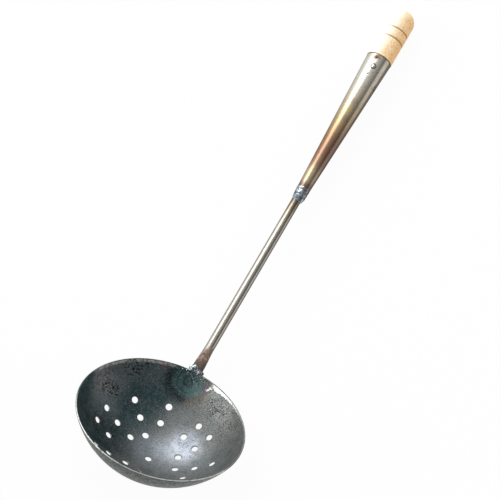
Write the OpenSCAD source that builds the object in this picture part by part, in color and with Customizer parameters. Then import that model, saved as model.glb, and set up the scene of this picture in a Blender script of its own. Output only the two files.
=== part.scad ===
// Perforated wok ladle: a pressed steel bowl with punched drain holes, a round
// steel rod whose flattened foot is welded to the outside of the bowl, a
// conical socket rolled from sheet and welded to the rod, and a turned wooden
// grip nailed into the socket's mouth. The ladle lies as it comes to rest on a
// table, on the bowl's wall and on the round end of the grip.

/* [Bowl] */
// Outer diameter of the bowl's rim
rim_d = 130; // [90:1:170]
// Outer depth of the bowl, from the rim's top to its lowest point
bowl_depth = 42.8; // [30:0.2:48]
// Thickness of the bowl's sheet
bowl_t = 1.2; // [0.8:0.1:2]

/* [Drain holes] */
// Diameter of each drain hole
hole_d = 5; // [3:0.5:6]
// Distance of the inner ring of holes from the middle one
ring_1_r = 22; // [18:0.5:24]
// Distance of the second ring of holes from the middle one
ring_2_r = 34; // [32:0.5:36]
// Distance of the outer ring of holes from the middle one
ring_3_r = 45.5; // [43:0.5:48]
// Offset of the middle hole from the bowl's axis, towards the handle
pattern_x = 1; // [-2:0.5:2]
// Offset of the middle hole from the bowl's axis, to the left
pattern_y = -1; // [-2:0.5:2]

/* [Rod] */
// Diameter of the rod
rod_d = 7.2; // [5:0.1:7.5]
// Straight length of the rod, from the bend at its foot to the socket
rod_len = 163; // [90:1:220]
// Length of the rod inside the socket
rod_grip = 14; // [8:1:30]
// Angle at which the handle rises from the plane of the rim
handle_rise = 26; // [10:1:34]
// Width of the rod's flattened foot
foot_w = 9; // [7.5:0.5:12]
// Thickness of the rod's flattened foot
foot_t = 4.4; // [3:0.2:5]
// Length of the foot that lies along the bowl's wall
foot_lap = 15; // [10:1:22]
// Radius of the bend above the lap, at the foot's middle
foot_bend_r = 6; // [4:0.5:12]
// Length over which the flattened foot turns into the round rod
foot_blend = 18; // [10:1:30]

/* [Socket] */
// Length of the conical socket
socket_len = 133; // [90:1:180]
// Outer diameter of the socket's narrow end
socket_tip_d = 9.7; // [9.4:0.1:12]
// Outer diameter of the socket's mouth
socket_mouth_d = 20.3; // [17:0.1:24]
// Thickness of the socket's sheet
socket_t = 0.8; // [0.6:0.1:1.1]
// Width of the butt seam left by rolling, on the underside
seam_w = 0.4; // [0.2:0.1:0.8]
// Offset of the rod from the socket's axis, to the left
rod_shift = 0.35; // [0:0.05:0.4]

/* [Grip] */
// Diameter of the grip outside the socket
grip_d = 20.8; // [17:0.1:24]
// Length of the grip outside the socket
grip_len = 47.5; // [40:0.5:80]
// Length of the grip's plug inside the socket
plug_len = 42; // [25:1:60]
// Distance of the first turned groove from the socket's mouth
groove_1_at = 18.8; // [10:0.2:21]
// Distance of the second turned groove from the socket's mouth
groove_2_at = 27.3; // [24:0.2:29]
// Width of each turned groove
groove_w = 1.4; // [0.8:0.1:2]
// Depth of each turned groove
groove_depth = 0.8; // [0.4:0.1:1.2]

/* [Nail] */
// Diameter of the nail's shank
nail_d = 1.8; // [1.2:0.1:2.4]
// Diameter of the nail's domed head
nail_head_d = 3.6; // [3:0.1:5]
// Height of the nail's domed head
nail_head_h = 1; // [0.6:0.1:1.5]
// Length of the nail's shank under its head
nail_len = 13; // [8:1:15]
// Distance of the nail from the socket's mouth
nail_at = 11; // [6:0.5:16]

/* [Welds] */
// Radius of the weld bead round the rod's foot
foot_bead_r = 1.6; // [1:0.1:2]
// Radius of the weld bead on the rim
rim_bead_r = 2.3; // [1.2:0.1:2.4]
// Length of the weld along the rod below the socket
socket_bead_len = 4; // [3:0.5:10]
// Length of the weld along the socket above its narrow end
socket_bead_over = 7.5; // [5:0.5:12]
// Thickness of the weld over the socket's narrow end
socket_bead_t = 0.4; // [0.2:0.1:1]

/* [Hidden] */

// Azimuth of each hole from the handle, and how far it strays outwards from its
// ring: the holes sit in pairs and were punched by eye.
ring_1_holes = [[66, 0], [32.5, -0.6], [-57, 0.1], [-93, 0], [148, 0], [182, 0.3]];
ring_2_holes = [[99, -0.1], [72.5, 1], [38.7, 0.6], [11.7, -1], [-25, -1.1], [-49.5, 0.5],
    [-85, 0.9], [-109.5, -0.4], [-141, 0.3], [-168, -0.5], [159, 0.4], [132.5, 0.4]];
ring_3_holes = [[95.5, 0.1], [76, 0.8], [43.2, 0.2], [9.2, -1], [-27, -1.2], [-44.5, -0.1],
    [-81, 0.4], [-111, -0.5], [-145, 0.4], [-164, -0.3], [161, 0.5], [129, 0]];

// Running clearance between pieces that are driven or slid together
seat_gap = 0.05;
// Clearance between the grip's plug and the socket
plug_gap = 0.15;
// Clearance between the rod's foot and the bowl's wall
lap_gap = 0.1;
// Clearance to which the socket's narrow end is opened where the rod is tight
rod_play = 0.07;
// Margin by which a cutting shape passes the face that it cuts
cut_over = 1;
// Length by which the foot runs into the rod
fuse_over = 1;

// The rim is a half round of the sheet's thickness. The wall is a cap of a
// sphere whose middle lies sphere_h above the rim's top.
rim_r = rim_d / 2;
half_t = bowl_t / 2;
rim_mid_r = rim_r - half_t;
sphere_h = (rim_mid_r ^ 2 + half_t ^ 2 - (bowl_depth - half_t) ^ 2)
    / (2 * (bowl_depth - bowl_t));
wall_out_r = bowl_depth + sphere_h;
wall_mid_r = wall_out_r - half_t;
wall_in_r = wall_out_r - bowl_t;
rim_angle = asin(rim_mid_r / wall_mid_r);

// The foot's middle line: up the wall, round the bend, then along the handle
lap_r = wall_out_r + lap_gap + foot_t / 2;
bend_start = rim_angle;
bend_out = lap_r + foot_bend_r;
bend_end = [
    bend_out * sin(bend_start) - foot_bend_r * sin(handle_rise),
    sphere_h - bend_out * cos(bend_start) + foot_bend_r * cos(handle_rise)
];
lap_angle = foot_lap / lap_r * 180 / PI;

// The round end of the grip, in the bowl's own frame
end_r = grip_d / 2;
end_reach = rod_len + socket_len + grip_len - end_r;
end_x = bend_end.x + end_reach * cos(handle_rise);
end_z = bend_end.y + end_reach * sin(handle_rise);

// At rest both the wall's sphere and the grip's round end touch the table
tilt = atan2(end_z - sphere_h, end_x)
    + asin((wall_out_r - end_r) / norm([end_x, end_z - sphere_h]));
lift = wall_out_r - sphere_h * cos(tilt);
low_x = tilt + rim_angle >= 90
    ? sphere_h * sin(tilt) - wall_out_r
    : -rim_mid_r * cos(tilt) - half_t * (1 + sin(tilt));
high_x = end_x * cos(tilt) + end_z * sin(tilt) + end_r;
mid_x = (low_x + high_x) / 2;

// Points round each section of the foot, and steps along its stretches
foot_sides = 36;
tip_steps = 4;
lap_steps = 6;
bend_steps = 7;
blend_steps = 8;
// How square the flattened section is: 2 is an ellipse
foot_squareness = 2.8;
// Steps along one ripple of a weld bead, and points over its rounded face
ripple_steps = 4;
bead_points = 7;
// Share of its size by which a bead swells at each ripple
ripple_share = 0.12;
// How soon the rim's bead is full from its ends: 1 is an even oval
end_fullness = 1.6;
// Runs of weld round the socket's narrow end, and steps along each
collar_runs = 3;
run_steps = 6;
// Share of the collar's thickness at its ends and between its runs
collar_thin = 0.35;

// Lays the ladle, drawn with its rim level, as it rests on a table
module at_rest() {
    translate([-mid_x, 0, lift]) rotate([0, tilt, 0]) children();
}

// Puts what is drawn along +Z on the handle's axis, above the foot's bend
module on_handle() {
    translate([bend_end.x, 0, bend_end.y])
        rotate([0, 90 - handle_rise, 0]) children();
}

// Puts what is drawn along +Z on the socket's axis, from its narrow end
module on_socket() {
    on_handle() translate([0, -rod_shift, rod_len]) children();
}

// The wall and its half-round rim, without holes
module bowl_wall() {
    far = 2 * wall_out_r;
    translate([0, 0, sphere_h]) rotate_extrude($fn = 180) {
        intersection() {
            difference() {
                circle(r = wall_out_r, $fn = 360);
                circle(r = wall_in_r, $fn = 360);
            }
            polygon([[0, 0], [far * sin(rim_angle), -far * cos(rim_angle)],
                [far * sin(rim_angle), -far], [0, -far]]);
        }
        translate([rim_mid_r, -wall_mid_r * cos(rim_angle)])
            circle(r = half_t, $fn = 24);
    }
}

// One drain hole, punched square to the wall, by its place round the middle hole
module drain_hole(from_middle, azimuth) {
    x = pattern_x + from_middle * cos(azimuth);
    y = pattern_y + from_middle * sin(azimuth);
    translate([0, 0, sphere_h])
        rotate([0, 0, atan2(y, x)])
            rotate([0, 180 - asin(norm([x, y]) / wall_mid_r), 0])
                translate([0, 0, wall_in_r - cut_over])
                    cylinder(d = hole_d, h = bowl_t + 2 * cut_over, $fn = 48);
}

module bowl() {
    color("slategray") at_rest() difference() {
        bowl_wall();
        drain_hole(0, 0);
        for (hole = ring_1_holes) drain_hole(ring_1_r + hole[1], hole[0]);
        for (hole = ring_2_holes) drain_hole(ring_2_r + hole[1], hole[0]);
        for (hole = ring_3_holes) drain_hole(ring_3_r + hole[1], hole[0]);
    }
}

// A solid through a row of rings of points, closed at both ends
module loft(rings) {
    sides = len(rings[0]);
    last = len(rings) - 1;
    faces = [
        for (i = [0 : last - 1], j = [0 : sides - 1])
            let (a = i * sides + j, b = i * sides + (j + 1) % sides)
            each [[a, b + sides, b], [a, a + sides, b + sides]]
    ];
    low_end = [for (j = [0 : sides - 1]) j];
    high_end = [for (j = [sides - 1 : -1 : 0]) last * sides + j];
    polyhedron([for (ring = rings) each ring], concat(faces, [low_end], [high_end]));
}

// A section of the foot across a point of its middle line, [x, z]: a rounded
// rectangle that lies square to the direction of the line
function signed_power(value, power) = sign(value) * abs(value) ^ power;
function foot_ring(at, direction, w, t, squareness) = [
    for (i = [0 : foot_sides - 1])
        let (angle = 360 * i / foot_sides,
            across = w / 2 * signed_power(cos(angle), 2 / squareness),
            up = t / 2 * signed_power(sin(angle), 2 / squareness))
        [at.x - up * sin(direction), across, at.y + up * cos(direction)]
];
function lap_ring(part, w, t) =
    let (angle = bend_start - lap_angle * (1 - part))
    foot_ring([lap_r * sin(angle), sphere_h - lap_r * cos(angle)],
        angle, w, t, foot_squareness);
function bend_ring(part) =
    let (angle = bend_start + (handle_rise - bend_start) * part)
    foot_ring([bend_out * sin(bend_start) - foot_bend_r * sin(angle),
        sphere_h - bend_out * cos(bend_start) + foot_bend_r * cos(angle)],
        angle, foot_w, foot_t, foot_squareness);
// The flat runs out into the round, and a little way into the rod
function blend_ring(along) =
    let (part = min(1, along / foot_blend), ease = part ^ 2 * (3 - 2 * part),
        inner_d = rod_d - seat_gap)
    foot_ring([bend_end.x + along * cos(handle_rise), bend_end.y + along * sin(handle_rise)],
        handle_rise, foot_w + (inner_d - foot_w) * ease, foot_t + (inner_d - foot_t) * ease,
        foot_squareness + (2 - foot_squareness) * ease);

// The flattened foot: round at its tip in plan, along the wall, round the bend
// and up to the rod
module foot() {
    tip_part = foot_w / 2 / foot_lap;
    loft([
        for (i = [0 : tip_steps - 1])
            let (part = 1 - cos(90 * (i + 0.5) / tip_steps), share = sqrt(1 - (1 - part) ^ 2))
            lap_ring(tip_part * part, foot_w * share, foot_t * (1 + share) / 2),
        for (i = [0 : lap_steps])
            lap_ring(tip_part + (1 - tip_part) * i / lap_steps, foot_w, foot_t),
        for (i = [1 : bend_steps]) bend_ring(i / bend_steps),
        for (i = [1 : blend_steps]) blend_ring(foot_blend * i / blend_steps),
        blend_ring(foot_blend + fuse_over)
    ]);
}

module rod() {
    on_handle() translate([0, 0, foot_blend])
        cylinder(d = rod_d, h = rod_len + rod_grip - foot_blend, $fn = 72);
}

module shaft() {
    color("silver") at_rest() {
        foot();
        rod();
    }
}

// A point on or over the wall's outer face: its distance down from the rim, its
// distance to the left of the handle, and its height over the face
function over_wall(down, left, height) =
    let (r = wall_out_r + height, up_angle = rim_angle - down / wall_out_r * 180 / PI,
        left_angle = left / wall_out_r * 180 / PI)
    [r * sin(up_angle) * cos(left_angle), r * sin(left_angle),
        sphere_h - r * cos(up_angle) * cos(left_angle)];

// How far a bead has swollen at a distance along it, with a ripple every
// diameter of the bead
function swell(along, r) = 1 + ripple_share * abs(sin(180 * along / (2 * r)));

// The fillet weld down one side of the foot, round its tip and up the other
// side: each ring is a corner with a bulging face, at a place on the path
function fillet_ring(along, side_len, side_at) =
    let (turn = (along - side_len) / side_at * 180 / PI,
        down = along < side_len ? along
            : turn > 180 ? 2 * side_len + PI * side_at - along
            : side_len + side_at * sin(turn),
        away = along < side_len ? [0, 1] : turn > 180 ? [0, -1] : [sin(turn), cos(turn)],
        left = along < side_len ? side_at : turn > 180 ? -side_at : side_at * cos(turn),
        w = foot_bead_r * swell(along, foot_bead_r))
    [
        over_wall(down, left, seat_gap),
        for (i = [0 : bead_points - 1])
            let (angle = 90 * i / (bead_points - 1))
            over_wall(down + away.x * w * cos(angle), left + away.y * w * cos(angle),
                seat_gap + w * sin(angle))
    ];
module foot_fillet() {
    side_len = foot_lap - foot_w / 2;
    side_at = foot_w / 2 + seat_gap;
    path_len = 2 * side_len + PI * side_at;
    steps = ceil(path_len / foot_bead_r * ripple_steps / 2);
    loft([for (i = [0 : steps]) fillet_ring(path_len * i / steps, side_len, side_at)]);
}

// The thicker bead in the corner between the rim and the foot touches the
// rim's half round and the outside of the bend
rim_bead_at =
    let (from_rim = half_t + rim_bead_r * (1 + ripple_share) + seat_gap,
        from_bend = foot_bend_r + foot_t / 2 + rim_bead_r * (1 + ripple_share) + seat_gap,
        rim_at = [rim_mid_r, -half_t],
        bend_at = [bend_out * sin(bend_start), sphere_h - bend_out * cos(bend_start)],
        apart = norm(bend_at - rim_at), along = (bend_at - rim_at) / apart,
        reach = (apart ^ 2 + from_rim ^ 2 - from_bend ^ 2) / (2 * apart))
    rim_at + reach * along + sqrt(from_rim ^ 2 - reach ^ 2) * [-along.y, along.x];
module rim_bead() {
    half_len = foot_w / 2 + rim_bead_r / 2;
    steps = ceil(2 * half_len / rim_bead_r * ripple_steps);
    sides = 2 * bead_points;
    loft([
        for (i = [0 : steps])
            let (turn = -90 + 180 * (i + 0.5) / (steps + 1), y = half_len * sin(turn),
                r = rim_bead_r * swell(y, rim_bead_r) * min(1, end_fullness * cos(turn)))
            [for (j = [0 : sides - 1])
                [rim_bead_at.x - y ^ 2 / rim_d + r * sin(360 * j / sides), y,
                    rim_bead_at.y + r * cos(360 * j / sides)]]
    ]);
}

module bowl_weld() {
    color("gray") at_rest() {
        foot_fillet();
        rim_bead();
    }
}

// A cone that follows the socket, inset from its outer face
module socket_cone(inset, from, to) {
    slope = (socket_mouth_d - socket_tip_d) / socket_len;
    translate([0, 0, from])
        cylinder(d1 = socket_tip_d + slope * from - 2 * inset,
            d2 = socket_tip_d + slope * to - 2 * inset, h = to - from, $fn = 96);
}

// The outer radius of the socket at a distance from its mouth
function socket_r(from_mouth) =
    socket_mouth_d / 2 - (socket_mouth_d - socket_tip_d) / 2 * from_mouth / socket_len;

// Puts what is drawn along +Z on the nail's axis, from the underside of its head
module on_nail() {
    translate([-socket_r(nail_at) - 2 * seat_gap, 0, socket_len - nail_at])
        rotate([0, -90, 0]) children();
}

// The hole that the nail makes through the socket and into the grip's plug
module nail_hole() {
    on_nail() translate([0, 0, -nail_len - seat_gap])
        cylinder(d = nail_d + 2 * seat_gap, h = nail_len + cut_over, $fn = 48);
}

module socket() {
    color("burlywood") at_rest() on_socket() difference() {
        rotate([0, 0, 90]) rotate_extrude($fn = 96) polygon([
            [socket_tip_d / 2, 0], [socket_mouth_d / 2, socket_len],
            [socket_mouth_d / 2 - socket_t, socket_len], [socket_tip_d / 2 - socket_t, 0]
        ]);
        translate([0, -seam_w / 2, -cut_over])
            cube([socket_mouth_d, seam_w, socket_len + 2 * cut_over]);
        translate([0, rod_shift, -cut_over])
            cylinder(d = rod_d + 2 * rod_play, h = rod_grip + cut_over, $fn = 72);
        nail_hole();
    }
}

// The weld between the socket and the rod: a few runs that close the socket's
// narrow end, laid from the rod up over the cone, each swelling over its width
function collar_r(height) =
    let (toe_r = rod_d / 2 + rod_shift, tip_r = socket_tip_d / 2,
        part = (height + socket_bead_len) / (socket_bead_len + socket_bead_over),
        under = height < 0 ? tip_r + (toe_r - tip_r) * -height / socket_bead_len
            : socket_r(socket_len - height))
    under + socket_bead_t
        * (collar_thin + (1 - collar_thin) * abs(sin(180 * collar_runs * part)));
module socket_weld() {
    steps = collar_runs * run_steps;
    rise = (socket_bead_len + socket_bead_over) / steps;
    color("dimgray") at_rest() difference() {
        on_socket() rotate_extrude($fn = 72) polygon([
            [0, -socket_bead_len],
            for (i = [0 : steps]) [collar_r(i * rise - socket_bead_len), i * rise - socket_bead_len],
            [0, socket_bead_over]
        ]);
        on_socket() socket_cone(0, 0, socket_len);
        rod();
    }
}

// A turned V groove
module groove(at) {
    translate([0, 0, socket_len + at]) rotate_extrude($fn = 96)
        translate([grip_d / 2, 0])
            polygon([[-groove_depth, 0], [cut_over, -groove_w / 2 * (1 + cut_over / groove_depth)],
                [cut_over, groove_w / 2 * (1 + cut_over / groove_depth)]]);
}

module grip() {
    color("wheat") at_rest() on_socket() difference() {
        union() {
            socket_cone(socket_t + plug_gap, socket_len - plug_len, socket_len + seat_gap);
            translate([0, 0, socket_len + seat_gap])
                cylinder(d = grip_d, h = grip_len - end_r - seat_gap, $fn = 96);
            translate([0, 0, socket_len + grip_len - end_r]) sphere(d = grip_d, $fn = 96);
        }
        groove(groove_1_at);
        groove(groove_2_at);
        nail_hole();
    }
}

// The domed head is a cap of a sphere, seated on the socket
module nail() {
    head_r = (nail_head_d ^ 2 / 4 + nail_head_h ^ 2) / (2 * nail_head_h);
    color("silver") at_rest() on_socket() on_nail() {
        translate([0, 0, -nail_len]) cylinder(d = nail_d, h = nail_len, $fn = 48);
        intersection() {
            translate([0, 0, nail_head_h - head_r]) sphere(r = head_r, $fn = 64);
            cylinder(d = nail_head_d + cut_over, h = nail_head_h + cut_over, $fn = 64);
        }
    }
}

bowl();
shaft();
bowl_weld();
socket();
socket_weld();
grip();
nail();
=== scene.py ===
"""Looks of a perforated wok ladle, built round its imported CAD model, in metres."""
import math
import random

import bmesh
import bpy
from mathutils import Matrix, Vector


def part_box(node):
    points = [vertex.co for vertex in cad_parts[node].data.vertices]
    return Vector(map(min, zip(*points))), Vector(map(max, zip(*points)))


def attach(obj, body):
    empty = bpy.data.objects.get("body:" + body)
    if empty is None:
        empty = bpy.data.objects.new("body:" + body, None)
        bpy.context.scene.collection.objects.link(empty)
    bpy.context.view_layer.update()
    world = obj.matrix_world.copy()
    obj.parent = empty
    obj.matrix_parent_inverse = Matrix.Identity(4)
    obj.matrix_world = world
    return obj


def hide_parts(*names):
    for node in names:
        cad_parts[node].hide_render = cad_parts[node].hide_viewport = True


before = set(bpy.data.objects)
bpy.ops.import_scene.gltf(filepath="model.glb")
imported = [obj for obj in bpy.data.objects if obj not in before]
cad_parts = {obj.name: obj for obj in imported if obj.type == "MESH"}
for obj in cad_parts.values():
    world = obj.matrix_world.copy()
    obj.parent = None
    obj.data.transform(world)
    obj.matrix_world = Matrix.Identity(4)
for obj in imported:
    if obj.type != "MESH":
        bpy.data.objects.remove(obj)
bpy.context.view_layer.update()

# The bowl
# A cap of a sphere pressed from thin carbon steel, with its cut edge rounded over at the rim.
# It keeps the blue-black skin of the heat, worn bright along the rim, and its drain holes were
# punched by eye, in pairs on three rings, so each has a rolled edge inside and a sharp one outside.
RIM_D = 0.130
BOWL_DEPTH = 0.0428
BOWL_SIDES, WALL_STEPS, RIM_STEPS = 240, 64, 10
SHEET = 0.0012
RIM_MID_R = (RIM_D - SHEET) / 2
SPHERE_H = ((RIM_MID_R ** 2 + (SHEET / 2) ** 2 - (BOWL_DEPTH - SHEET / 2) ** 2)
            / (2 * (BOWL_DEPTH - SHEET)))
OUT_R = BOWL_DEPTH + SPHERE_H
MID_R = OUT_R - SHEET / 2
IN_R = OUT_R - SHEET
RIM_ANGLE = math.asin(RIM_MID_R / MID_R)

# The bowl's own space has its origin at the sphere's middle and +Z out of the opening. It leans
# back until the wall and the grip both rest, which the height of its far rim shows.
bowl_low, bowl_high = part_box("bowl")
rim_drop = SPHERE_H + SHEET / 2
LEAN = (math.asin((bowl_high.z - SHEET / 2 - OUT_R) / math.hypot(RIM_MID_R, rim_drop))
        + math.atan2(rim_drop, RIM_MID_R))
BOWL = (Matrix.Translation((bowl_low.x + OUT_R, 0, OUT_R))
        @ Matrix.Rotation(LEAN, 4, "Y"))


def skin(mesh, rings):
    """Faces between rings of vertices; a ring of one vertex closes an end to a point."""
    for low, high in zip(rings, rings[1:]):
        count = max(len(low), len(high))
        for i in range(count):
            j = (i + 1) % count
            corners = [low[i % len(low)], low[j % len(low)], high[j % len(high)], high[i % len(high)]]
            mesh.faces.new(list(dict.fromkeys(corners)))


def turned(profile, sides):
    """A solid turned about Z from (radius, height) points, with its ends on the axis."""
    mesh = bmesh.new()
    rings = []
    for radius, height in profile:
        count = sides if radius > 1e-6 else 1
        turns = [2 * math.pi * i / count for i in range(count)]
        rings.append([mesh.verts.new((radius * math.cos(t), radius * math.sin(t), height))
                      for t in turns])
    skin(mesh, rings)
    return mesh


def as_piece(name, mesh):
    """A new object in the scene from a bmesh, with its faces turned outwards."""
    bmesh.ops.recalc_face_normals(mesh, faces=mesh.faces)
    data = bpy.data.meshes.new(name)
    mesh.to_mesh(data)
    mesh.free()
    piece = bpy.data.objects.new(name, data)
    bpy.context.scene.collection.objects.link(piece)
    return piece


def run_tree(piece, tree, **sizes):
    """Gives a piece the mesh that a Geometry Nodes tree makes of it, as a plain mesh."""
    live = piece.modifiers.new(tree.name, "NODES")
    live.node_group = tree
    for item in tree.interface.items_tree:
        if item.in_out == "INPUT" and item.name in sizes:
            live[item.identifier] = sizes[item.name]
    bpy.context.view_layer.update()
    shown = piece.evaluated_get(bpy.context.evaluated_depsgraph_get())
    made = bpy.data.meshes.new_from_object(shown)
    piece.modifiers.remove(live)
    piece.data = made
    return piece


def settle(piece, place, finish, node, sharp=35):
    """Puts a piece in its place in the frame, shades it, and lets it stand for its CAD node."""
    piece.data.transform(place)
    piece.data.shade_smooth()
    piece.data.set_sharp_from_angle(angle=math.radians(sharp))
    piece.data.materials.clear()
    piece.data.materials.append(finish)
    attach(piece, "root")
    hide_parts(node)
    return piece


class Wire:
    """A value on its way through a node tree; a sum with it becomes a Math node."""

    def __init__(self, socket):
        self.socket = socket

    def __add__(self, other):
        return reckon("ADD", self, other)

    def __sub__(self, other):
        return reckon("SUBTRACT", self, other)

    def __rsub__(self, other):
        return reckon("SUBTRACT", other, self)

    def __mul__(self, other):
        return reckon("MULTIPLY", self, other)

    def __truediv__(self, other):
        return reckon("DIVIDE", self, other)


def add(tree, kind, wires=(), **settings):
    """A new node, with its options set and its inputs filled or wired."""
    node = tree.nodes.new(kind)
    for option, value in settings.items():
        setattr(node, option, value)
    for socket, value in dict(wires).items():
        if isinstance(value, Wire):
            tree.links.new(value.socket, node.inputs[socket])
        else:
            node.inputs[socket].default_value = value
    return node


def made_by(kind, wires=(), out=0, tree=None, **settings):
    """What a new node gives; it stands in the tree that its wires run through, or in the given one."""
    wires = dict(wires)
    tree = tree or next(value.socket.id_data for value in wires.values() if isinstance(value, Wire))
    return Wire(add(tree, kind, wires, **settings).outputs[out])


def reckon(operation, *values, **settings):
    """The result of a Math node."""
    return made_by("ShaderNodeMath", enumerate(values), operation=operation, **settings)


def vector(operation, first, second=(0, 0, 0), out="Vector"):
    """The result of a Vector Math node."""
    return made_by("ShaderNodeVectorMath", {0: first, 1: second}, out, operation=operation)


def axes(where):
    """The x, y and z of a place."""
    return [made_by("ShaderNodeSeparateXYZ", {0: where}, axis) for axis in range(3)]


def new_tree(name, **sockets):
    """An empty Geometry Nodes tree with named inputs, and the wires that come from them."""
    tree = bpy.data.node_groups.new(name, "GeometryNodeTree")
    for label, kind in {"Geometry": "Geometry", **sockets}.items():
        tree.interface.new_socket(label, in_out="INPUT", socket_type="NodeSocket" + kind)
    tree.interface.new_socket("Geometry", in_out="OUTPUT", socket_type="NodeSocketGeometry")
    return tree, {way_in.name: Wire(way_in) for way_in in tree.nodes.new("NodeGroupInput").outputs}


def finish_off(tree, made, finish):
    """Ends a tree: whatever it made becomes real geometry with the given material."""
    real = made_by("GeometryNodeRealizeInstances", {0: made})
    coated = made_by("GeometryNodeSetMaterial", {"Geometry": real, "Material": finish})
    add(tree, "NodeGroupOutput", {"Geometry": coated})
    return tree


HOLE_D, HOLE_SIDES = 0.005, 40
PATTERN_AT = (0.001, -0.001)
# Each ring is its radius, then the holes on it: azimuth, and how far out of the ring in mm
RINGS = [
    (0, [(0, 0)]),
    (0.022, [(66, 0), (32.5, -0.6), (-57, 0.1), (-93, 0), (148, 0), (182, 0.3)]),
    (0.034, [(99, -0.1), (72.5, 1), (38.7, 0.6), (11.7, -1), (-25, -1.1), (-49.5, 0.5),
             (-85, 0.9), (-109.5, -0.4), (-141, 0.3), (-168, -0.5), (159, 0.4), (132.5, 0.4)]),
    (0.0455, [(95.5, 0.1), (76, 0.8), (43.2, 0.2), (9.2, -1), (-27, -1.2), (-44.5, -0.1),
              (-81, 0.4), (-111, -0.5), (-145, 0.4), (-164, -0.3), (161, 0.5), (129, 0)]),
]
PUNCH_REACH, PUNCH_RINGS = 0.0022, 22
ROLLED_EDGE = 0.00035


def bowl_profile():
    """The wall's section: down the inside from the rim to the middle, and back up outside."""
    down = [RIM_ANGLE * i / WALL_STEPS for i in range(WALL_STEPS)]
    inside = [(IN_R * math.sin(a), -IN_R * math.cos(a)) for a in down]
    outside = [(OUT_R * math.sin(a), -OUT_R * math.cos(a)) for a in down]
    turn = [RIM_ANGLE + math.pi * i / RIM_STEPS for i in range(RIM_STEPS + 1)]
    rim = [(RIM_MID_R + SHEET / 2 * math.sin(math.pi - a), -MID_R * math.cos(RIM_ANGLE)
            + SHEET / 2 * math.cos(math.pi - a)) for a in turn]
    return inside + rim[::-1] + outside[::-1]


def punch_marks():
    """A point in the middle of the wall for each hole, with the direction it was punched from."""
    mesh = bmesh.new()
    inward = mesh.verts.layers.float_vector.new("inward")
    for ring_r, holes in RINGS:
        for azimuth, stray in holes:
            out, turn = ring_r + stray / 1000, math.radians(azimuth)
            x, y = PATTERN_AT[0] + out * math.cos(turn), PATTERN_AT[1] + out * math.sin(turn)
            mark = Vector((x, y, -math.sqrt(MID_R ** 2 - x * x - y * y)))
            mesh.verts.new(mark)[inward] = -mark.normalized()
    data = bpy.data.meshes.new("punch_marks")
    mesh.to_mesh(data)
    return bpy.data.objects.new("punch_marks", data)


def punching_tree():
    """Cuts a wall with a punch at each mark: straight through, and flared where it went in."""
    tree, given = new_tree("punching", Marks="Object", HoleDiameter="Float", Sheet="Float",
                           RolledEdge="Float", Finish="Material")
    edge = given["RolledEdge"]
    punch = made_by("GeometryNodeMeshCylinder",
                    {"Vertices": HOLE_SIDES, "Side Segments": PUNCH_RINGS,
                     "Radius": given["HoleDiameter"] / 2.0, "Depth": 2 * PUNCH_REACH})
    at = made_by("GeometryNodeInputPosition", tree=tree)
    past = axes(at)[2] - (given["Sheet"] / 2.0 - edge)
    flare = reckon("POWER", reckon("DIVIDE", past, edge, use_clamp=True), 2.0) * edge
    away = vector("NORMALIZE", vector("MULTIPLY", at, (1, 1, 0)))
    flared = made_by("GeometryNodeSetPosition", {0: punch, "Offset": vector("MULTIPLY", away, flare)})
    marks = made_by("GeometryNodeObjectInfo", {"Object": given["Marks"]}, "Geometry")
    inward = made_by("GeometryNodeInputNamedAttribute", {"Name": "inward"}, tree=tree,
                     data_type="FLOAT_VECTOR")
    square = made_by("FunctionNodeAlignRotationToVector", {"Vector": inward}, axis="Z")
    punches = made_by("GeometryNodeInstanceOnPoints",
                      {"Points": marks, "Instance": flared, "Rotation": square})
    real = made_by("GeometryNodeRealizeInstances", {0: punches})
    cut = made_by("GeometryNodeMeshBoolean", {"Mesh 1": given["Geometry"], "Mesh 2": real}, "Mesh",
                  operation="DIFFERENCE", solver="EXACT")
    return finish_off(tree, cut, given["Finish"])


def tone(red, green, blue):
    """A colour from its everyday 0 to 255 values, as the light that it reflects."""
    shares = [c / 255 for c in (red, green, blue)]
    return tuple(c / 12.92 if c <= 0.04045 else ((c + 0.055) / 1.055) ** 2.4 for c in shares) + (1,)


def new_finish(name, place):
    """An empty material, and Object coordinates turned into a piece's own space."""
    finish = bpy.data.materials.new(name)
    finish.use_nodes = True
    finish.node_tree.nodes.clear()
    everywhere = made_by("ShaderNodeTexCoord", out="Object", tree=finish.node_tree)
    back = place.inverted()
    own = made_by("ShaderNodeMapping", {"Vector": everywhere, "Location": back.to_translation(),
                                        "Rotation": back.to_euler("XYZ")})
    return finish, own


def most(one, other):
    """The larger of two values."""
    return reckon("MAXIMUM", one, other)


def how_far(where, spot=(0, 0, 0)):
    """The distance of a place from a spot."""
    return vector("DISTANCE", where, spot, "Value")


def cloud(where, scale, detail=4, rough=0.55):
    """Noise from 0 to 1, with so many blotches to the metre."""
    return made_by("ShaderNodeTexNoise",
                   {"Vector": where, "Scale": scale, "Detail": detail, "Roughness": rough})


def step(value, low, high, start=0.0, end=1.0):
    """A soft step from start to end as the value goes from low to high."""
    return made_by("ShaderNodeMapRange", {"Value": value, "From Min": low, "From Max": high,
                                          "To Min": start, "To Max": end},
                   interpolation_type="SMOOTHSTEP")


def mix(share, first, second):
    """Two colours mixed, with so large a share of the second."""
    return made_by("ShaderNodeMix", {0: share, 6: first, 7: second}, 2, data_type="RGBA")


def bands(value, *stops):
    """A colour for each place along a value: each stop is its place, then red, green and blue."""
    banded = made_by("ShaderNodeValToRGB", {0: value})
    marks = banded.socket.node.color_ramp.elements
    while len(marks) < len(stops):
        marks.new(0.5)
    for mark, (place, *colour) in zip(marks, stops):
        mark.position, mark.color = place, tone(*colour)
    return banded


def near(where, spot, reach, soft):
    """1 within reach of a spot, falling to 0 over a soft edge."""
    return step(how_far(where, spot), reach, reach + soft, 1.0, 0.0)


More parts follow.
